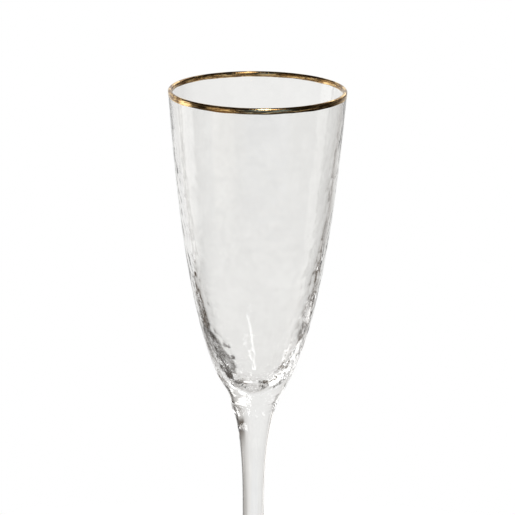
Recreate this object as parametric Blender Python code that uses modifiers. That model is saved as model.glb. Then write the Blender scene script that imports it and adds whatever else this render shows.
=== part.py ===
"""Champagne flute: a hammered blown bowl with a fired gold rim, on a drawn stem and a round foot.

The origin is the centre of the circle that the foot rests on, +Z runs up the glass, and lengths are in
metres. Every piece is turned about Z, from a half outline of (radius, height) points.
"""

import math

import bpy

# Overall sizes.
OVERALL_HEIGHT = 0.2450
RIM_RADIUS = 0.0320
FOOT_RADIUS = 0.0350

# The gold band that wraps the lip, and the clearance that keeps touching pieces apart.
CLEARANCE = 0.0003
BAND_THICKNESS = 0.0002
BAND_OUTSIDE_HEIGHT = 0.0018
BAND_INSIDE_HEIGHT = 0.0012

# The bowl. A pull is a control point of the wall's curve: its radius and its depth below the lip.
LIP_HEIGHT = OVERALL_HEIGHT - BAND_THICKNESS - CLEARANCE
LIP_RADIUS = RIM_RADIUS - BAND_THICKNESS - CLEARANCE
LIP_THICKNESS = 0.0011
BOWL_DEPTH = 0.1144
CAVITY_DEPTH = 0.1096
OUTSIDE_PULLS = ((0.0277, 0.0530), (0.0221, 0.0925))
INSIDE_PULLS = ((0.0253, 0.0485), (0.0190, 0.1062))
WALL_STEPS = 18
LIP_STEPS = 6

# The stem: a slender shank that flares into the bowl above and into the foot below.
STEM_TOP_RADIUS = 0.0088
SHANK_RADIUS = 0.0037
NECK_DECAY = 0.0125
STEM_BOTTOM_RADIUS = 0.0057
ANKLE_DECAY = 0.0050
STEM_STEPS = 20

# The foot: a disc with a soft edge, rising to a boss that carries the stem.
FOOT_BOSS_HEIGHT = 0.0090
FOOT_EDGE_THICKNESS = 0.0024
FOOT_SLOPE_RISE = 0.0016
FOOT_BOSS_POWER = 9
FOOT_STEPS = 16
EDGE_STEPS = 6
REST_RING_OUTSIDE = 0.0330
REST_RING_INSIDE = 0.0270
FOOT_HOLLOW_HEIGHT = 0.0012
HOLLOW_STEPS = 4

SEAT_HEIGHT = LIP_HEIGHT - BOWL_DEPTH
SEGMENTS = 48
MERGE_DISTANCE = 0.00005


def remove_everything():
    for old in list(bpy.data.objects):
        bpy.data.objects.remove(old, do_unlink=True)


def fractions(steps):
    """Evenly spaced values from 0 to 1, both ends included."""
    return [step / steps for step in range(steps + 1)]


def bezier(start, first_pull, second_pull, end, steps):
    """Points on a cubic curve from start to end, as (radius, height)."""
    points = []
    for t in fractions(steps):
        weights = ((1 - t) ** 3, 3 * t * (1 - t) ** 2, 3 * t * t * (1 - t), t ** 3)
        corners = (start, first_pull, second_pull, end)
        radius = sum(weight * corner[0] for weight, corner in zip(weights, corners))
        height = sum(weight * corner[1] for weight, corner in zip(weights, corners))
        points.append((radius, height))
    return points


def arc(centre, radius, start_angle, end_angle, steps):
    """Points on a circular arc, with angles in radians from the +radius direction."""
    points = []
    for t in fractions(steps):
        angle = start_angle + (end_angle - start_angle) * t
        points.append((centre[0] + radius * math.cos(angle), centre[1] + radius * math.sin(angle)))
    return points


def wall(start_radius, pulls, end_radius, end_depth):
    """One side of the bowl's wall from just below the rounded lip down to end_depth below the lip."""
    start = (start_radius, LIP_HEIGHT - LIP_THICKNESS / 2)
    control = [(radius, LIP_HEIGHT - depth) for radius, depth in pulls]
    return bezier(start, control[0], control[1], (end_radius, LIP_HEIGHT - end_depth), WALL_STEPS)


def lip_arc(offset):
    """The rounded lip from its inner to its outer side, offset outwards from the glass."""
    centre = (LIP_RADIUS - LIP_THICKNESS / 2, LIP_HEIGHT - LIP_THICKNESS / 2)
    return arc(centre, LIP_THICKNESS / 2 + offset, math.pi, 0, LIP_STEPS)


def bowl_outline():
    inside = wall(LIP_RADIUS - LIP_THICKNESS, INSIDE_PULLS, 0, CAVITY_DEPTH)
    outside = wall(LIP_RADIUS, OUTSIDE_PULLS, STEM_TOP_RADIUS, BOWL_DEPTH)
    return inside[::-1] + lip_arc(0)[1:-1] + outside + [(0, SEAT_HEIGHT)]


def curve_direction(start, pull):
    """Unit direction of a wall's curve as it leaves the lip."""
    length = math.dist(start, pull)
    return ((pull[0] - start[0]) / length, (pull[1] - start[1]) / length)


def band_leg(start_radius, pull, outward, offset, length):
    """End of one leg of the band, which follows the wall down from the lip."""
    start = (start_radius, LIP_HEIGHT - LIP_THICKNESS / 2)
    along = curve_direction(start, (pull[0], LIP_HEIGHT - pull[1]))
    reach = length - LIP_THICKNESS / 2
    return (start[0] + along[0] * reach + outward * offset, start[1] + along[1] * reach)


def band_side(offset):
    """The band's section at one distance from the glass, from its inner leg over the lip to its outer."""
    inner = band_leg(LIP_RADIUS - LIP_THICKNESS, INSIDE_PULLS[0], -1, offset, BAND_INSIDE_HEIGHT)
    outer = band_leg(LIP_RADIUS, OUTSIDE_PULLS[0], 1, offset, BAND_OUTSIDE_HEIGHT)
    return [inner] + lip_arc(offset) + [outer]


def band_outline():
    outer_face = band_side(CLEARANCE + BAND_THICKNESS)
    inner_face = band_side(CLEARANCE)
    return outer_face + inner_face[::-1]


def stem_radius(height):
    top = SEAT_HEIGHT - CLEARANCE
    bottom = FOOT_BOSS_HEIGHT + CLEARANCE
    neck = (STEM_TOP_RADIUS - SHANK_RADIUS) * math.exp((height - top) / NECK_DECAY)
    ankle = (STEM_BOTTOM_RADIUS - SHANK_RADIUS) * math.exp((bottom - height) / ANKLE_DECAY)
    return SHANK_RADIUS + neck + ankle


def stem_outline():
    top = SEAT_HEIGHT - CLEARANCE
    bottom = FOOT_BOSS_HEIGHT + CLEARANCE
    side = []
    for t in fractions(STEM_STEPS):
        # A cosine spacing gathers the steps where the stem flares.
        height = bottom + (top - bottom) * (1 + math.cos(math.pi * t)) / 2
        side.append((stem_radius(height), height))
    return [(0, top)] + side + [(0, bottom)]


def foot_top_height(radius):
    inward = (FOOT_RADIUS - radius) / (FOOT_RADIUS - STEM_BOTTOM_RADIUS)
    boss_rise = FOOT_BOSS_HEIGHT - FOOT_EDGE_THICKNESS - FOOT_SLOPE_RISE
    return FOOT_EDGE_THICKNESS + FOOT_SLOPE_RISE * inward + boss_rise * inward ** FOOT_BOSS_POWER


def foot_outline():
    edge_radius = FOOT_EDGE_THICKNESS / 2
    rim = arc((FOOT_RADIUS - edge_radius, edge_radius), edge_radius, math.pi / 2, -math.pi / 4, EDGE_STEPS)
    top = []
    for t in fractions(FOOT_STEPS):
        radius = STEM_BOTTOM_RADIUS + (FOOT_RADIUS - edge_radius - STEM_BOTTOM_RADIUS) * t * t
        top.append((radius, foot_top_height(radius)))
    hollow = []
    for t in fractions(HOLLOW_STEPS)[1:]:
        hollow.append((REST_RING_INSIDE * (1 - t), FOOT_HOLLOW_HEIGHT * (1 - (1 - t) ** 2)))
    underside = [(REST_RING_OUTSIDE, 0), (REST_RING_INSIDE, 0)] + hollow
    return [(0, FOOT_BOSS_HEIGHT)] + top + rim[1:] + underside


def glass_material(name, colour, roughness):
    material = bpy.data.materials.new(name)
    material.use_nodes = True
    shader = material.node_tree.nodes["Principled BSDF"]
    shader.inputs["Base Color"].default_value = colour
    shader.inputs["Roughness"].default_value = roughness
    shader.inputs["Metallic"].default_value = 0.0
    shader.inputs["IOR"].default_value = 1.5
    shader.inputs["Transmission Weight"].default_value = 1.0
    return material


def gold_material(name):
    material = bpy.data.materials.new(name)
    material.use_nodes = True
    shader = material.node_tree.nodes["Principled BSDF"]
    shader.inputs["Base Color"].default_value = (0.80, 0.58, 0.27, 1.0)
    shader.inputs["Roughness"].default_value = 0.12
    shader.inputs["Metallic"].default_value = 1.0
    return material


def turned_piece(name, outline, closed, material, collection):
    """Turn a half outline about Z. A closed outline is a ring's section; an open one ends on the axis."""
    mesh = bpy.data.meshes.new(name)
    points = [(radius, 0, height) for radius, height in outline]
    edges = [(index, index + 1) for index in range(len(points) - 1)]
    if closed:
        edges.append((len(points) - 1, 0))
    mesh.from_pydata(points, edges, [])
    mesh.materials.append(material)
    piece = bpy.data.objects.new(name, mesh)
    collection.objects.link(piece)
    turn = piece.modifiers.new("turn", "SCREW")
    turn.axis = "Z"
    turn.angle = 2 * math.pi
    turn.steps = SEGMENTS
    turn.render_steps = SEGMENTS
    turn.use_merge_vertices = True
    turn.merge_threshold = MERGE_DISTANCE
    turn.use_smooth_shade = True
    return piece


def main():
    remove_everything()
    flute = bpy.data.collections.new("champagne_flute")
    bpy.context.scene.collection.children.link(flute)
    hammered_glass = glass_material("hammered_glass", (0.96, 0.96, 0.95, 1.0), 0.03)
    clear_glass = glass_material("clear_glass", (0.97, 0.97, 0.96, 1.0), 0.02)
    turned_piece("bowl", bowl_outline(), False, hammered_glass, flute)
    turned_piece("gold_rim_band", band_outline(), True, gold_material("fired_gold"), flute)
    turned_piece("stem", stem_outline(), False, clear_glass, flute)
    turned_piece("foot", foot_outline(), False, clear_glass, flute)


main()
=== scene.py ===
"""Looks for the hammered champagne flute: blown glass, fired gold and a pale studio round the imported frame.

Lengths are in metres. A turned surface is a grid of points: each ring is one height of an outline of
(radius, height) points, and each column one angle round Z. Right is +X and the camera stands at -Y.
"""

import math
import random

import bpy
import numpy as np
from mathutils import Matrix, Vector


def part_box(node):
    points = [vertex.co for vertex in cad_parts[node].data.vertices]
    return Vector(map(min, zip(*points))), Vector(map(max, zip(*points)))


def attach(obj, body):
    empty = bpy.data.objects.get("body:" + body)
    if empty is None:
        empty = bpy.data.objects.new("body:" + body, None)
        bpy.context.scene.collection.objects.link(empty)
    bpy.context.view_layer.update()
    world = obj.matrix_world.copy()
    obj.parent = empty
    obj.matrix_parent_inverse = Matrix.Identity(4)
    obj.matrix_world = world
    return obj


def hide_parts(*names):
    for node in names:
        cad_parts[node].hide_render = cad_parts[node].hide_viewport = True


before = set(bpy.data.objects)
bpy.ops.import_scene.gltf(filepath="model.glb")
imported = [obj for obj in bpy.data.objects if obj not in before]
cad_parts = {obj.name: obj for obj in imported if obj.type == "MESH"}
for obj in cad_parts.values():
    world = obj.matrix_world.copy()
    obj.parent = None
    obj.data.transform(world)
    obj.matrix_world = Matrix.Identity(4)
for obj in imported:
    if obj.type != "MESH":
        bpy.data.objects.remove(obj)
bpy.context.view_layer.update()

MM = 0.001

# Places taken from the frame.
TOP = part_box("gold_rim_band")[1].z
RIM_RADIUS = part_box("gold_rim_band")[1].x
SEAM_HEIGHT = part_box("bowl")[0].z
FOOT_SEAM_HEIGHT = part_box("foot")[1].z
FOOT_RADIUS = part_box("foot")[1].x

# The bowl. A depth is measured down from the lip's top. The pulls are a curve's (radius, depth) handles.
BAND_THICKNESS = 0.08 * MM
LIP_TOP = TOP - BAND_THICKNESS
LIP_RADIUS = RIM_RADIUS - BAND_THICKNESS
LIP_THICKNESS = 1.3 * MM
LIP_CENTRE = (LIP_RADIUS - LIP_THICKNESS / 2, LIP_TOP - LIP_THICKNESS / 2)
SEAM_RADIUS = 8.75 * MM
OUTSIDE_PULLS = ((27.65 * MM, 54 * MM), (22.1 * MM, 93 * MM))
INSIDE_PULLS = ((25.5 * MM, 48.4 * MM), (20.1 * MM, 106.4 * MM))
CAVITY_DEPTH = 110.1 * MM

# The cavity's wall is a little uneven, but not at the lip or at its very centre. The two pairs are where
# that fades in, by depth and by radius.
CAVITY_WAVE = 0.05 * MM
CAVITY_WAVE_DEPTHS = (4 * MM, 30 * MM)
CAVITY_WAVE_RADII = (0, 6 * MM)
# The cavity leans to the right near its end: how far, and the depths where the lean starts and ends.
CAVITY_LEAN = 0.4 * MM
LEAN_START = (84 * MM, 94 * MM)
LEAN_END = (98 * MM, 108 * MM)

# The most times that a wave in hand-worked glass repeats round Z.
MOST_TURNS = 7

# The stem: a slender shank that widens up to the seam and down to the foot.
SHANK_RADIUS = 3.7 * MM
NECK_DECAY = 12.5 * MM
ANKLE_RADIUS = 5.7 * MM
ANKLE_DECAY = 5.0 * MM
STEM_WAVE = 0.05 * MM
STEM_WAVE_FADE = 10 * MM

# The foot: a soft edge, a top that slopes gently and then rises steeply to the stem, and a flat ring that it
# stands on, round a shallow hollow.
FOOT_EDGE = 2.4 * MM
FOOT_SLOPE = 1.6 * MM
BOSS_STEEPNESS = 9
RING_SHOULDER = (33.2 * MM, 0.02 * MM)
RING_OUTER = 32.4 * MM
RING_INNER = 28 * MM
# The hollow is a parabola that would end at its radius. Its first ring of points is a little inside that.
HOLLOW_RADIUS = 27 * MM
HOLLOW_START = 26.5 * MM
HOLLOW_DEPTH = 1.2 * MM

# How fine the meshes are, and the angles, in degrees, past which their edges stay sharp.
SEGMENTS = 300
CURVE_STEPS = 400
OUTSIDE_STEP = 0.6 * MM
INSIDE_STEP = 1.15 * MM
STEM_RINGS = 260
FOOT_TOP_RINGS = 60
FOOT_EDGE_STEPS = 14
HOLLOW_RINGS = 30
LIP_STEPS = 10
BAND_STEPS = 12
GLASS_CREASE = 38
GOLD_CREASE = 50

# Hammer marks: shallow dishes in rows round the bowl. The row spacing, spreads and reach are shares of the
# pitch, and the depth shares are of the depth.
DIMPLE_SEED = 11
DIMPLE_PITCH = 4.4 * MM
DIMPLE_DEPTH = 0.10 * MM
DEPTH_SHARES = (0.45, 1.25)
ROW_SPACING = 0.9
SIDE_SPREAD = 0.28
LIFT_SPREAD = 0.3
FEWEST_IN_ROW = 5
DISH_REACH = 0.62
# How sharply one dish gives way to the next, and how high the glass between them stands, as a depth share.
DISH_SHARPNESS = 7.0
DISH_RIDGE = 0.2
# The hammering starts below the lip, grows stronger down the bowl, and is partly melted away at the seam.
HAMMER_START = (3 * MM, 26 * MM)
HAMMER_GROWTH = (45 * MM, 98 * MM)
HAMMER_MELT = (106 * MM, 113.5 * MM)
UPPER_STRENGTH = 0.55
LOWER_STRENGTH = 1.55
MELTED = 0.7

# One side of the seam between bowl and stem was nipped while hot: a shallow groove, and a knuckle below it.
KNUCKLE_SIDE = math.radians(190)
KNUCKLE_SIZE = 0.5 * MM
KNUCKLE_HEIGHT = SEAM_HEIGHT - 3.2 * MM
KNUCKLE_REACH = 2.4 * MM
GROOVE_SIZE = 0.85 * MM
GROOVE_HEIGHT = SEAM_HEIGHT + 3.2 * MM
GROOVE_REACH = 4.0 * MM
FILLET_SIZE = 0.27 * MM
FILLET_REACH = 3.0 * MM

# The gold band: a thin shell over the lip. Its two legs lean in with the wall, and their lower edges wander
# a little, as brushed edges do. Each wave of the wander is (turns round the glass, phase, size).
BAND_GAP = 0.02 * MM
INNER_LEG = 1.5 * MM
OUTER_LEG = 2.05 * MM
INNER_SLOPE = 0.094
OUTER_SLOPE = 0.080
WANDER = 0.04375 * MM
WANDER_WAVES = ((5, 1, 1), (11, 2, 1), (23, 0, 0.6))
WANDER_START = (0.8 * MM, 1.6 * MM)


# ---------------------------------------------------------------- outlines

def bezier(corners, steps):
    """Points on the cubic curve with these four corners."""
    t = np.linspace(0, 1, steps + 1)[:, None]
    weights = ((1 - t) ** 3, 3 * t * (1 - t) ** 2, 3 * t * t * (1 - t), t ** 3)
    return sum(weight * np.array(corner) for weight, corner in zip(weights, corners))


def evenly(points, step):
    """The same line with its points spaced about one step apart along it."""
    lengths = np.linalg.norm(np.diff(points, axis=0), axis=1)
    along = np.concatenate(([0], np.cumsum(lengths)))
    count = max(2, round(along[-1] / step)) + 1
    places = np.linspace(0, along[-1], count)
    return np.column_stack([np.interp(places, along, points[:, axis]) for axis in range(2)])


def arc(centre, radius, start, end, steps):
    """Points on an arc. Its start and end are in degrees, anticlockwise from the outward direction."""
    angles = np.radians(np.linspace(start, end, steps + 1))
    return np.column_stack((centre[0] + radius * np.cos(angles), centre[1] + radius * np.sin(angles)))


def wall_line(start_radius, pulls, end, step):
    """One face of the bowl's wall, from the lip down to its end."""
    start = (start_radius, LIP_CENTRE[1])
    handles = [(radius, LIP_TOP - depth) for radius, depth in pulls]
    return evenly(bezier([start, *handles, end], CURVE_STEPS), step)


def outside_line():
    return wall_line(LIP_RADIUS, OUTSIDE_PULLS, (SEAM_RADIUS, SEAM_HEIGHT), OUTSIDE_STEP)


def inside_line():
    return wall_line(LIP_RADIUS - LIP_THICKNESS, INSIDE_PULLS, (0, LIP_TOP - CAVITY_DEPTH), INSIDE_STEP)


def stem_line():
    heights = np.linspace(SEAM_HEIGHT, FOOT_SEAM_HEIGHT, STEM_RINGS)
    neck = (SEAM_RADIUS - SHANK_RADIUS) * np.exp((heights - SEAM_HEIGHT) / NECK_DECAY)
    ankle = (ANKLE_RADIUS - SHANK_RADIUS) * np.exp((FOOT_SEAM_HEIGHT - heights) / ANKLE_DECAY)
    return np.column_stack((SHANK_RADIUS + neck + ankle, heights))


def foot_top_line():
    radii = np.linspace(ANKLE_RADIUS, FOOT_RADIUS - FOOT_EDGE / 2, FOOT_TOP_RINGS)
    inward = (FOOT_RADIUS - radii) / (FOOT_RADIUS - ANKLE_RADIUS)
    boss_height = FOOT_SEAM_HEIGHT - FOOT_EDGE - FOOT_SLOPE
    return np.column_stack((radii, FOOT_EDGE + FOOT_SLOPE * inward + boss_height * inward ** BOSS_STEEPNESS))


def foot_line():
    """The foot's top from the stem outwards, its soft edge, and its underside to the centre."""
    half = FOOT_EDGE / 2
    edge = arc((FOOT_RADIUS - half, half), half, start=85, end=-70, steps=FOOT_EDGE_STEPS)
    ring = (RING_SHOULDER, (RING_OUTER, 0), (RING_INNER, 0))
    radii = np.linspace(HOLLOW_START, 0, HOLLOW_RINGS)
    hollow = np.column_stack((radii, HOLLOW_DEPTH * (1 - (radii / HOLLOW_RADIUS) ** 2)))
    return np.vstack((foot_top_line(), edge, ring, hollow))


def leg(radius, slope, length, shares):
    """Points on one leg of the gold band, at these shares of the way down it."""
    return [(radius - slope * length * share, LIP_CENTRE[1] - length * share) for share in shares]


def band_line(offset):
    """One face of the gold band, this far off the glass, from its inner leg's end over the lip to its outer
    leg's end."""
    half = LIP_THICKNESS / 2
    inner = leg(LIP_CENTRE[0] - half - offset, INNER_SLOPE, INNER_LEG - half, (1, 0.5))
    outer = leg(LIP_CENTRE[0] + half + offset, OUTER_SLOPE, OUTER_LEG - half, (0.5, 1))
    return np.vstack((inner, arc(LIP_CENTRE, half + offset, 180, 0, BAND_STEPS), outer))


# ---------------------------------------------------------------- turned grids

def swept(radii, heights):
    """What these radii and heights make when they are swept round Z."""
    angles = np.arange(SEGMENTS) * (2 * math.pi / SEGMENTS)
    x = np.outer(radii, np.cos(angles))
    y = np.outer(radii, np.sin(angles))
    return np.stack((x, y, np.broadcast_to(heights[:, None], x.shape)), axis=-1)


def turned(line):
    """The grid of points that a line makes, and its normals, which point to the left of the line's run."""
    slope = np.gradient(line, axis=0)
    normal = np.column_stack((-slope[:, 1], slope[:, 0]))
    normal /= np.linalg.norm(normal, axis=1, keepdims=True)
    return swept(line[:, 0], line[:, 1]), swept(normal[:, 0], normal[:, 1])


def ease(value, low, high):
    """Rises smoothly from 0 to 1 between low and high."""
    t = np.clip((value - low) / (high - low), 0, 1)
    return t * t * (3 - 2 * t)


def hump(value, middle, reach):
    """A smooth hump, 1 at its middle."""
    return np.exp(-((value - middle) / reach) ** 2)


def dimple_centres(line):
    """Centres of the hammer marks on a line's surface, with each one's depth."""
    rng = random.Random(DIMPLE_SEED)
    centres = []
    for radius, height in evenly(line, DIMPLE_PITCH * ROW_SPACING):
        count = max(FEWEST_IN_ROW, round(2 * math.pi * radius / DIMPLE_PITCH))
        phase = rng.random()
        for index in range(count):
            angle = 2 * math.pi * (index + phase + rng.uniform(-SIDE_SPREAD, SIDE_SPREAD)) / count
            lift = rng.uniform(-LIFT_SPREAD, LIFT_SPREAD) * DIMPLE_PITCH
            depth = rng.uniform(*DEPTH_SHARES) * DIMPLE_DEPTH
            centres.append((radius * math.cos(angle), radius * math.sin(angle), height + lift, depth))
    return np.array(centres)


def dimples(points, centres):
    """How far each point sinks: a smooth blend of the dishes round the nearest centres."""
    reach = (DIMPLE_PITCH * DISH_REACH) ** 2
    sink = np.zeros(points.shape[:2])
    for row, ring in enumerate(points):
        gap = ring[:, None, :] - centres[None, :, :3]
        square = np.einsum("ijk,ijk->ij", gap, gap) / reach
        weight = np.exp(-DISH_SHARPNESS * (square - square.min(axis=1, keepdims=True)))
        dish = centres[None, :, 3] * np.clip(1 - square, -DISH_RIDGE, 1)
        sink[row] = (weight * dish).sum(axis=1) / weight.sum(axis=1)
    return sink


def hammering(depth):
    """How strong the hammer marks are at a depth."""
    strength = UPPER_STRENGTH + (LOWER_STRENGTH - UPPER_STRENGTH) * ease(depth, *HAMMER_GROWTH)
    return strength * ease(depth, *HAMMER_START) * (1 - MELTED * ease(depth, *HAMMER_MELT))


def shape_seam(points):
    """Rounds the corner at the seam, and shapes the groove and the knuckle on its nipped side."""
    x, y, height = np.moveaxis(points, -1, 0)
    side = np.clip(np.cos(np.arctan2(y, x) - KNUCKLE_SIDE), 0, 1) ** 2
    knuckle = KNUCKLE_SIZE * hump(height, KNUCKLE_HEIGHT, KNUCKLE_REACH)
    groove = GROOVE_SIZE * hump(height, GROOVE_HEIGHT, GROOVE_REACH)
    fillet = FILLET_SIZE * np.exp(-np.abs(height - SEAM_HEIGHT) / FILLET_REACH)
    scale = 1 + (side * (knuckle - groove) + fillet) / np.hypot(x, y)
    return np.stack((x * scale, y * scale, height), axis=-1)


def waves(points, seed, count, shortest, longest):
    """Slow unevenness of hand-worked glass, between -1 and 1 or so, closed round Z."""
    rng = random.Random(seed)
    angle = np.arctan2(points[..., 1], points[..., 0])
    total = np.zeros(points.shape[:2])
    for _ in range(count):
        turns = rng.randint(0, MOST_TURNS)
        length = rng.uniform(shortest, longest)
        rise = rng.choice((-1, 1)) * 2 * math.pi / length
        total += np.cos(turns * angle + rise * points[..., 2] + rng.uniform(0, 2 * math.pi))
    return total / math.sqrt(count)


# ---------------------------------------------------------------- meshes

def ring_quads(rings, joined=False):
    """The faces between each ring of a grid and the next, and between the last and the first if joined."""
    index = np.arange(rings * SEGMENTS).reshape(rings, SEGMENTS)
    following = np.roll(index, -1, axis=0)
    if not joined:
        index, following = index[:-1], following[:-1]
    corners = (index, following, np.roll(following, -1, axis=1), np.roll(index, -1, axis=1))
    return np.stack(corners, axis=-1).reshape(-1, 4).tolist()


def add_piece(name, vertices, faces, slots, materials, crease):
    """A smooth object. slots is each face's material, and edges past the crease, in degrees, stay sharp."""
    mesh = bpy.data.meshes.new(name)
    mesh.from_pydata(vertices, [], faces)
    for material in materials:
        mesh.materials.append(material)
    mesh.polygons.foreach_set("material_index", slots)
    mesh.shade_smooth()
    mesh.set_sharp_from_angle(angle=math.radians(crease))
    mesh.update()
    piece = bpy.data.objects.new(name, mesh)
    bpy.context.scene.collection.objects.link(piece)
    return piece


def capped_piece(name, points, materials, caps):
    """A closed glass piece from a grid. The caps, one for the first ring and one for the last, are each
    (height of the middle, material slot)."""
    vertices = points.reshape(-1, 3).tolist()
    faces = ring_quads(len(points))
    slots = [0] * len(faces)
    first_ring = range(SEGMENTS)
    last_ring = range(len(vertices) - 1, len(vertices) - 1 - SEGMENTS, -1)
    for ring, (height, slot) in zip((first_ring, last_ring), caps):
        centre = len(vertices)
        vertices.append((0, 0, height))
        for column in range(SEGMENTS):
            faces.append((centre, ring[column], ring[(column + 1) % SEGMENTS]))
            slots.append(slot)
    return add_piece(name, vertices, faces, slots, materials, GLASS_CREASE)


# ---------------------------------------------------------------- materials

class Nodes:
    """A shorthand for building a material's or a world's nodes."""

    def __init__(self, owner):
        owner.use_nodes = True
        self.tree = owner.node_tree
        self.tree.nodes.clear()

    def add(self, kind, values=None, links=None, **settings):
        """A new node. values and links set its inputs, by slot or name, and settings its properties."""
        node = self.tree.nodes.new(kind)
        for key, value in settings.items():
            setattr(node, key, value)
        for key, value in (values or {}).items():
            node.inputs[key].default_value = value
        for key, socket in (links or {}).items():
            self.tree.links.new(socket, node.inputs[key])
        return node

    def set_inputs(self, node, inputs):
        """Sets each (slot, value) input, where a value is a number, a colour or another node's socket."""
        for slot, value in inputs:
            if isinstance(value, (int, float, tuple)):
                node.inputs[slot].default_value = value
            else:
                self.tree.links.new(value, node.inputs[slot])

    def math(self, operation, first, second=0.0, third=0.0):
        node = self.add("ShaderNodeMath", operation=operation)
        self.set_inputs(node, ((0, first), (1, second), (2, third)))
        return node.outputs[0]

    def mix(self, fraction, first, second, blend="MIX"):
        node = self.add("ShaderNodeMix", data_type="RGBA", blend_type=blend)
        self.set_inputs(node, ((0, fraction), (6, first), (7, second)))
        return node.outputs[2]

    def remap(self, value, low, high, out_low, out_high):
        node = self.add("ShaderNodeMapRange", {1: low, 2: high, 3: out_low, 4: out_high}, {0: value},
                        interpolation_type="SMOOTHSTEP")
        return node.outputs[0]

    def noise(self, place, scale, detail, roughness=0.5, distortion=0.0):
        values = {"Scale": scale, "Detail": detail, "Roughness": roughness, "Distortion": distortion}
        return self.add("ShaderNodeTexNoise", values, {"Vector": place}).outputs["Fac"]

    def relief(self, height, depth):
        bump = self.add("ShaderNodeBump", {"Strength": 1.0, "Distance": depth}, {"Height": height})
        return bump.outputs["Normal"]

    def output(self, shader, kind="ShaderNodeOutputMaterial"):
        self.add(kind, links={"Surface": shader.outputs[0]})


# The glass: what it lets through, and the roughness of its smudges.
GLASS_COLOUR = (0.995, 0.995, 0.99, 1)
GLASS_IOR = 1.5
SMUDGE = 0.02
SMUDGE_SCALE = 55.0
SMUDGE_EDGE = (0.45, 0.72)
# Its relief: ripples all over, and on the lower bowl a fine grain, which shows at its edges.
GLASS_RELIEF = 0.05 * MM
RIPPLE_SCALE = 480.0
GRAIN_SCALE = 1500.0
GRAIN_TOP = TOP - 66 * MM
GRAIN_FADE = 12 * MM
# A faint veil in patches over it: how much light it lets through, how fine the patches are, and their edges.
VEIL = 0.98
VEIL_SCALE = 150.0
VEIL_EDGE = (0.42, 0.60)


def glass_relief(nodes, place, ripple, grain):
    height = nodes.add("ShaderNodeSeparateXYZ", links={0: place}).outputs[2]
    grain_here = nodes.remap(height, GRAIN_TOP, GRAIN_TOP - GRAIN_FADE, 0.0, grain)
    ripples = nodes.math("MULTIPLY", nodes.noise(place, RIPPLE_SCALE, detail=3.0), ripple)
    grains = nodes.noise(place, GRAIN_SCALE, detail=1.0)
    return nodes.relief(nodes.math("MULTIPLY_ADD", grains, grain_here, ripples), GLASS_RELIEF)


def glass(name, ripple, grain):
    material = bpy.data.materials.new(name)
    nodes = Nodes(material)
    place = nodes.add("ShaderNodeTexCoord").outputs["Object"]
    clearness = nodes.remap(nodes.noise(place, VEIL_SCALE, detail=4.0), *VEIL_EDGE, 0.0, 1.0)
    veiled = (*(channel * VEIL for channel in GLASS_COLOUR[:3]), 1)
    colour = nodes.mix(clearness, veiled, GLASS_COLOUR)
    smudges = nodes.noise(place, SMUDGE_SCALE, detail=5.0, roughness=0.6)
    rough = nodes.remap(smudges, *SMUDGE_EDGE, 0.0, SMUDGE)
    normal = glass_relief(nodes, place, ripple, grain)
    shader = nodes.add("ShaderNodeBsdfPrincipled",
                       {"IOR": GLASS_IOR, "Transmission Weight": 1.0, "Metallic": 0.0},
                       {"Base Color": colour, "Roughness": rough, "Normal": normal})
    nodes.output(shader)
    return material


def fused_joint():
    """The face where two gathers of glass have melted together: nothing shows there."""
    material = bpy.data.materials.new("fused_joint")
    nodes = Nodes(material)
    nodes.output(nodes.add("ShaderNodeBsdfPrincipled", {"Alpha": 0.0, "Roughness": 0.0}))
    return material


# The band's dark colour is partly thin gold and partly painted reflection: a near-black brown that stands in
# for the dark room reflected in the gold.
THIN_GOLD_AND_PAINTED_DARK_REFLECTION = (0.28, 0.16, 0.06, 1)
FULL_GOLD = (0.95, 0.67, 0.32, 1)
# The brush strokes are stretched along the lip: how much finer they are up and down than along it. The same
# strokes also place the painted dark reflection in the band's colour.
STROKE_SQUASH = 8.0
STROKE_SCALE = 190.0
STROKE_AND_PAINTED_REFLECTION_EDGE = (0.50, 0.56)
GOLD_RELIEF = 0.13 * MM
GOLD_CLOUD_SCALE = 90.0
GOLD_CLOUD_EDGE = (0.3, 0.7)
GOLD_ROUGHNESS = (0.03, 0.10)


def gold():
    """Liquid gold, brushed on by hand round the lip and fired: thin streaks that run with the brush. Between
    the gold streaks the colour goes near-black brown, partly thin gold and partly a painted reflection of the
    dark room.
    """
    material = bpy.data.materials.new("fired_gold")
    nodes = Nodes(material)
    place = nodes.add("ShaderNodeTexCoord").outputs["Object"]
    squash = (1.0, 1.0, STROKE_SQUASH)
    along = nodes.add("ShaderNodeVectorMath", {1: squash}, {0: place}, operation="MULTIPLY").outputs[0]
    brush_streaks_and_painted_reflection = nodes.noise(along, STROKE_SCALE, detail=4.0, roughness=0.65, distortion=0.4)
    # Painted reflection: the streaks turn the colour between near-black brown and full gold.
    colour = nodes.mix(nodes.remap(brush_streaks_and_painted_reflection, *STROKE_AND_PAINTED_REFLECTION_EDGE, 0.0, 1.0), THIN_GOLD_AND_PAINTED_DARK_REFLECTION, FULL_GOLD)
    cloud = nodes.noise(place, GOLD_CLOUD_SCALE, detail=4.0, roughness=0.6)
    rough = nodes.remap(cloud, *GOLD_CLOUD_EDGE, *GOLD_ROUGHNESS)
    normal = nodes.relief(brush_streaks_and_painted_reflection, GOLD_RELIEF)
    shader = nodes.add("ShaderNodeBsdfPrincipled", {"Metallic": 1.0},
                       {"Base Color": colour, "Roughness": rough, "Normal": normal})
    nodes.output(shader)
    return material


# ---------------------------------------------------------------- the flute

def bowl_outside():
    line = outside_line()
    points, normals = turned(line)
    sink = dimples(points, dimple_centres(line)) * hammering(LIP_TOP - points[..., 2])
    return shape_seam(points - normals * sink[..., None])


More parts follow.
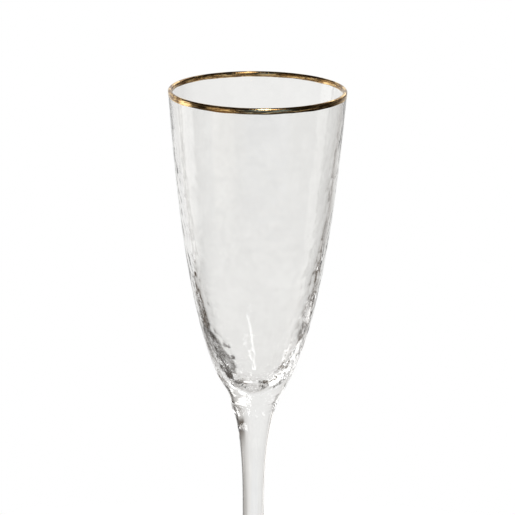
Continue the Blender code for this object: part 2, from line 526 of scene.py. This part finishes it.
def bowl_inside(line):
    """The cavity's grid, for its line from the centre up."""
    points, normals = turned(line)
    depth = LIP_TOP - points[..., 2]
    radius = np.hypot(points[..., 0], points[..., 1])
    fade = ease(depth, *CAVITY_WAVE_DEPTHS) * ease(radius, *CAVITY_WAVE_RADII)
    uneven = CAVITY_WAVE * waves(points, seed=5, count=9, shortest=14 * MM, longest=60 * MM) * fade
    points = points + normals * uneven[..., None]
    points[..., 0] += CAVITY_LEAN * ease(depth, *LEAN_START) * (1 - ease(depth, *LEAN_END))
    return points


def make_bowl(glass_material, joint_material):
    """The cavity, lip and outside as one skin. The cavity's centre is the middle of the first cap."""
    line = inside_line()[::-1]
    lip, _ = turned(arc(LIP_CENTRE, LIP_THICKNESS / 2, 180, 0, LIP_STEPS)[1:-1])
    points = np.concatenate((bowl_inside(line)[1:], lip, bowl_outside()))
    caps = ((line[0][1], 0), (SEAM_HEIGHT, 1))
    return capped_piece("hammered_bowl", points, (glass_material, joint_material), caps)


def make_stem(glass_material, joint_material):
    points, normals = turned(stem_line())
    height = points[..., 2]
    fade = ease(SEAM_HEIGHT - height, 0, STEM_WAVE_FADE) * ease(height - FOOT_SEAM_HEIGHT, 0, STEM_WAVE_FADE)
    uneven = STEM_WAVE * waves(points, seed=8, count=6, shortest=25 * MM, longest=90 * MM) * fade
    points = shape_seam(points + normals * uneven[..., None])
    caps = ((SEAM_HEIGHT, 1), (FOOT_SEAM_HEIGHT, 1))
    return capped_piece("drawn_stem", points, (glass_material, joint_material), caps)


def make_foot(glass_material, joint_material):
    """The foot. Its line's last point, the hollow's centre, is the middle of the second cap."""
    points, _ = turned(foot_line()[:-1])
    caps = ((FOOT_SEAM_HEIGHT, 1), (HOLLOW_DEPTH, 0))
    return capped_piece("round_foot", points, (glass_material, joint_material), caps)


def make_band(gold_material):
    points, _ = turned(np.vstack((band_line(BAND_THICKNESS), band_line(BAND_GAP)[::-1])))
    angle = np.arctan2(points[..., 1], points[..., 0])
    wander = WANDER * sum(size * np.sin(turns * angle + phase) for turns, phase, size in WANDER_WAVES)
    points[..., 2] += wander * ease(TOP - points[..., 2], *WANDER_START)
    vertices = points.reshape(-1, 3).tolist()
    faces = ring_quads(len(points), joined=True)
    return add_piece("gold_band", vertices, faces, [0] * len(faces), (gold_material,), GOLD_CREASE)


# ---------------------------------------------------------------- studio

# The room round the glass. Azimuth is in degrees from straight behind the glass, positive to the right, and
# the camera is at 180. Each stop is (azimuth, radiance). The level stops are the backdrop's sweep and the
# room at eye height, and the low stops are the table round it.
LEVEL_STOPS = ((-180, 0.03), (-105, 0.03), (-80, 0.20), (-52, 0.72), (-36, 0.84), (-15, 0.88), (0, 0.88),
               (8, 0.86), (12, 0.84), (19, 0.75), (29, 0.66), (44, 0.45), (56, 0.10), (100, 0.03),
               (180, 0.03))
LOW_STOPS = ((-180, 0.03), (-85, 0.05), (-66, 0.16), (-57, 0.30), (-50, 0.84), (-15, 0.87), (0, 0.865),
             (17, 0.81), (25, 0.68), (32, 0.42), (44, 0.26), (60, 0.10), (80, 0.03), (180, 0.03))
# Where the table meets the sweep and the sweep meets the ceiling, in degrees up, and how soft that is.
TABLE_EDGE = -17
SWEEP_TOP = 27
EDGE_SOFTNESS = 3
CEILING = 0.05
# The table and the sweep are lit a little unevenly.
CLOUD_SCALE = 30.0
CLOUD_DEPTH = 0.11

DAYLIGHT = (1.0, 0.99, 0.98)
SOFT_WHITE = (1.0, 0.99, 0.97)
CREAM = (1.0, 0.97, 0.92)
TUNGSTEN = (1.0, 0.90, 0.75)
UMBER = (1.0, 0.78, 0.60)
RUST = (1.0, 0.72, 0.50)
SKY = (0.33, 0.56, 1.0)
# Softboxes and dark screens: (azimuth, half width, low, high, softness, radiance, colour), low and high in
# degrees up. Later ones are in front of earlier ones.
PANELS = (
    (0, 75, -95, -44, 4, 0.80, DAYLIGHT),
    (-66, 18, -24, 12, 3, 1.50, SOFT_WHITE),
    (-54, 2.5, -30, 14, 1.0, 0.12, UMBER),
    (34, 14, -26, -21.5, 1.0, 0.12, UMBER),
    (-40, 16, -32, -22.5, 1.0, 0.10, UMBER),
    (25, 12, -40, -24.5, 1.0, 1.50, DAYLIGHT),
    (40, 16, -60, -41, 3.0, 0.12, RUST),
    (-32, 18, -50, -31.5, 1.5, 0.03, RUST),
    (38, 13, -7, 4, 5, 0.10, UMBER),
    (28, 15, 10, 17, 1.5, 1.7, SOFT_WHITE),
    (27, 14, 24, 42, 2.5, 1.9, SOFT_WHITE),
    (-133, 16, -26, 8, 4, 0.75, TUNGSTEN),
    (166, 30, -24, 26, 6, 0.46, SKY),
    (180, 105, -95, -29, 3, 0.60, CREAM),
)

# A strip light that runs up and over behind the camera, in degrees. Its edges are shares of its half width.
STRIP_AZIMUTH = 161
STRIP_LOW = 18
STRIP_HIGH = 80
STRIP_HALF = 5.0
STRIP_EDGES = (0.7, 1.3)
STRIP_LOW_FADE = 5
STRIP_HIGH_FADE = 3
STRIP_RADIANCE = 9.0

# What the room shows at least, seen through the glass, towards the sides and the front: (azimuth, radiance).
FILL_STOPS = ((-180, 0.60), (-115, 0.80), (-82, 0.80), (-66, 0.0), (56, 0.0), (80, 0.50), (115, 0.60),
              (180, 0.60))


def warm(radiance):
    """The colour of one part of the room: the dimmer it is, the browner."""
    return (radiance, radiance * (0.92 + 0.088 * radiance), radiance * (0.85 + 0.158 * radiance), 1)


def ramp(nodes, azimuth, stops):
    """The room's colour by azimuth. A new ramp has two elements, and one of them becomes the last stop."""
    place = nodes.math("MULTIPLY_ADD", azimuth, 1 / 360, 0.5)
    node = nodes.add("ShaderNodeValToRGB", links={0: place})
    elements = node.color_ramp.elements
    elements.remove(elements[0])
    elements[0].position = 1.0
    elements[0].color = warm(stops[-1][1])
    for angle, radiance in stops[:-1]:
        elements.new((angle + 180) / 360).color = warm(radiance)
    return node.outputs[0]


def room(nodes, direction, azimuth, elevation):
    """The table, the backdrop's sweep and the dim ceiling."""
    is_level = nodes.remap(elevation, TABLE_EDGE - EDGE_SOFTNESS, TABLE_EDGE + EDGE_SOFTNESS, 0.0, 1.0)
    colour = nodes.mix(is_level, ramp(nodes, azimuth, LOW_STOPS), ramp(nodes, azimuth, LEVEL_STOPS))
    cloud = nodes.noise(direction, CLOUD_SCALE, detail=3.0)
    shade = nodes.math("MULTIPLY_ADD", cloud, 2 * CLOUD_DEPTH, 1 - CLOUD_DEPTH)
    grey = nodes.add("ShaderNodeCombineXYZ", links={0: shade, 1: shade, 2: shade}).outputs[0]
    colour = nodes.mix(1.0, colour, grey, "MULTIPLY")
    is_ceiling = nodes.remap(elevation, SWEEP_TOP - EDGE_SOFTNESS, SWEEP_TOP + EDGE_SOFTNESS, 0.0, 1.0)
    return nodes.mix(is_ceiling, colour, warm(CEILING))


def panel_mask(nodes, azimuth, elevation, centre, half, low, high, soft):
    offset = nodes.math("WRAP", nodes.math("SUBTRACT", azimuth, centre), 180.0, -180.0)
    across = nodes.remap(nodes.math("ABSOLUTE", offset), half - soft, half + soft, 1.0, 0.0)
    above = nodes.remap(elevation, low - soft, low + soft, 0.0, 1.0)
    below = nodes.remap(elevation, high - soft, high + soft, 1.0, 0.0)
    return nodes.math("MULTIPLY", nodes.math("MULTIPLY", across, above), below)


def strip_mask(nodes, x, y, elevation):
    turn = math.radians(STRIP_AZIMUTH)
    aside = nodes.math("SUBTRACT", nodes.math("MULTIPLY", x, math.cos(turn)),
                       nodes.math("MULTIPLY", y, math.sin(turn)))
    edges = [math.sin(math.radians(STRIP_HALF)) * share for share in STRIP_EDGES]
    across = nodes.remap(nodes.math("ABSOLUTE", aside), *edges, 1.0, 0.0)
    in_front = nodes.math("LESS_THAN", y, 0.0)
    above = nodes.remap(elevation, STRIP_LOW, STRIP_LOW + STRIP_LOW_FADE, 0.0, 1.0)
    below = nodes.remap(elevation, STRIP_HIGH - STRIP_HIGH_FADE, STRIP_HIGH, 1.0, 0.0)
    along = nodes.math("MULTIPLY", above, below)
    return nodes.math("MULTIPLY", nodes.math("MULTIPLY", across, in_front), along)


def for_each_ray(nodes, colour, azimuth):
    """Adds the fill for rays that have gone through glass, and plain white for the camera's own."""
    rays = nodes.add("ShaderNodeLightPath").outputs
    fill = ramp(nodes, azimuth, FILL_STOPS)
    colour = nodes.mix(rays["Is Transmission Ray"], colour, fill, "LIGHTEN")
    return nodes.mix(rays["Is Camera Ray"], colour, (1, 1, 1, 1))


def make_world():
    world = bpy.data.worlds.new("studio")
    bpy.context.scene.world = world
    nodes = Nodes(world)
    direction = nodes.add("ShaderNodeTexCoord").outputs["Generated"]
    x, y, z = nodes.add("ShaderNodeSeparateXYZ", links={0: direction}).outputs
    azimuth = nodes.math("DEGREES", nodes.math("ARCTAN2", x, y))
    elevation = nodes.math("DEGREES", nodes.math("ARCSINE", z))
    colour = room(nodes, direction, azimuth, elevation)
    for *shape, radiance, tint in PANELS:
        light = (*(channel * radiance for channel in tint), 1)
        colour = nodes.mix(panel_mask(nodes, azimuth, elevation, *shape), colour, light)
    strip_light = (STRIP_RADIANCE, STRIP_RADIANCE, STRIP_RADIANCE, 1)
    colour = nodes.mix(strip_mask(nodes, x, y, elevation), colour, strip_light)
    colour = for_each_ray(nodes, colour, azimuth)
    nodes.output(nodes.add("ShaderNodeBackground", links={"Color": colour}), "ShaderNodeOutputWorld")


FLOOR_RADIUS = 300 * MM
FLOOR_DROP = 0.2 * MM
FLOOR_SEGMENTS = 96
FLOOR_GREY = (0.8, 0.8, 0.8, 1)
FLOOR_GLOW = 0.85
# The floor fades out between these shares of its radius.
FLOOR_FADE = (0.55, 0.98)


def floor_material():
    """Pale and fading out to its edge. Only the camera sees it, so the glass shows the room through it."""
    material = bpy.data.materials.new("pale_floor")
    nodes = Nodes(material)
    place = nodes.add("ShaderNodeTexCoord").outputs["Object"]
    distance = nodes.add("ShaderNodeVectorMath", links={0: place}, operation="LENGTH").outputs["Value"]
    inside = nodes.remap(distance, *(FLOOR_RADIUS * share for share in FLOOR_FADE), 1.0, 0.0)
    solid = nodes.math("MULTIPLY", nodes.add("ShaderNodeLightPath").outputs["Is Camera Ray"], inside)
    diffuse = nodes.add("ShaderNodeBsdfDiffuse", {"Color": FLOOR_GREY})
    glow = nodes.add("ShaderNodeEmission", {"Color": (1, 1, 1, 1), "Strength": FLOOR_GLOW})
    both = nodes.add("ShaderNodeAddShader", links={0: diffuse.outputs[0], 1: glow.outputs[0]})
    clear = nodes.add("ShaderNodeBsdfTransparent")
    nodes.output(nodes.add("ShaderNodeMixShader", links={0: solid, 1: clear.outputs[0], 2: both.outputs[0]}))
    return material


def make_floor():
    mesh = bpy.data.meshes.new("floor")
    angles = [2 * math.pi * index / FLOOR_SEGMENTS for index in range(FLOOR_SEGMENTS)]
    corners = [(FLOOR_RADIUS * math.cos(angle), FLOOR_RADIUS * math.sin(angle), 0) for angle in angles]
    mesh.from_pydata(corners, [], [range(FLOOR_SEGMENTS)])
    mesh.materials.append(floor_material())
    floor = bpy.data.objects.new("floor", mesh)
    floor.location.z = -FLOOR_DROP
    bpy.context.scene.collection.objects.link(floor)


# ---------------------------------------------------------------- camera

# The camera looks down on the lip's centre, and aims below it to take in the bowl.
CAMERA_DISTANCE = 1.5
VIEW_ELEVATION = math.radians(12.2)
AIM_BELOW_RIM = math.radians(2.289)
ROLL = math.radians(0.62)
SIDE_STEP = 0.6 * MM
LENS = 294.1


def make_camera():
    camera = bpy.data.objects.new("camera", bpy.data.cameras.new("camera"))
    bpy.context.scene.collection.objects.link(camera)
    camera.data.lens = LENS
    camera.data.clip_start = 0.01
    camera.data.clip_end = 20.0
    back = CAMERA_DISTANCE * math.cos(VIEW_ELEVATION)
    up = CAMERA_DISTANCE * math.sin(VIEW_ELEVATION)
    pitch = math.pi / 2 - VIEW_ELEVATION - AIM_BELOW_RIM
    turn = Matrix.Rotation(pitch, 4, "X") @ Matrix.Rotation(ROLL, 4, "Z")
    camera.matrix_world = Matrix.Translation(Vector((SIDE_STEP, -back, TOP + up))) @ turn
    bpy.context.scene.camera = camera


def set_up_light_paths():
    """Enough bounces for light to cross the bowl's walls, and a neutral view of the colours."""
    scene = bpy.context.scene
    scene.cycles.max_bounces = 32
    scene.cycles.transmission_bounces = 32
    scene.cycles.glossy_bounces = 16
    scene.cycles.transparent_max_bounces = 32
    scene.cycles.use_denoising = True
    scene.view_settings.view_transform = "Standard"


# ---------------------------------------------------------------- all of it


def main():
    make_camera()
    set_up_light_paths()
    make_world()
    make_floor()
    hammered = glass("hammered_glass", ripple=0.35, grain=0.45)
    clear = glass("clear_glass", ripple=0.05, grain=0.0)
    joint = fused_joint()
    pieces = (
        (make_bowl(hammered, joint), "bowl", "hammered_glass"),
        (make_stem(clear, joint), "stem", "clear_glass"),
        (make_foot(clear, joint), "foot", "clear_glass"),
        (make_band(gold()), "gold_rim_band", "fired_gold"),
    )
    for piece, node, slot in pieces:
        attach(piece, "root")
        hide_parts(node)


main()
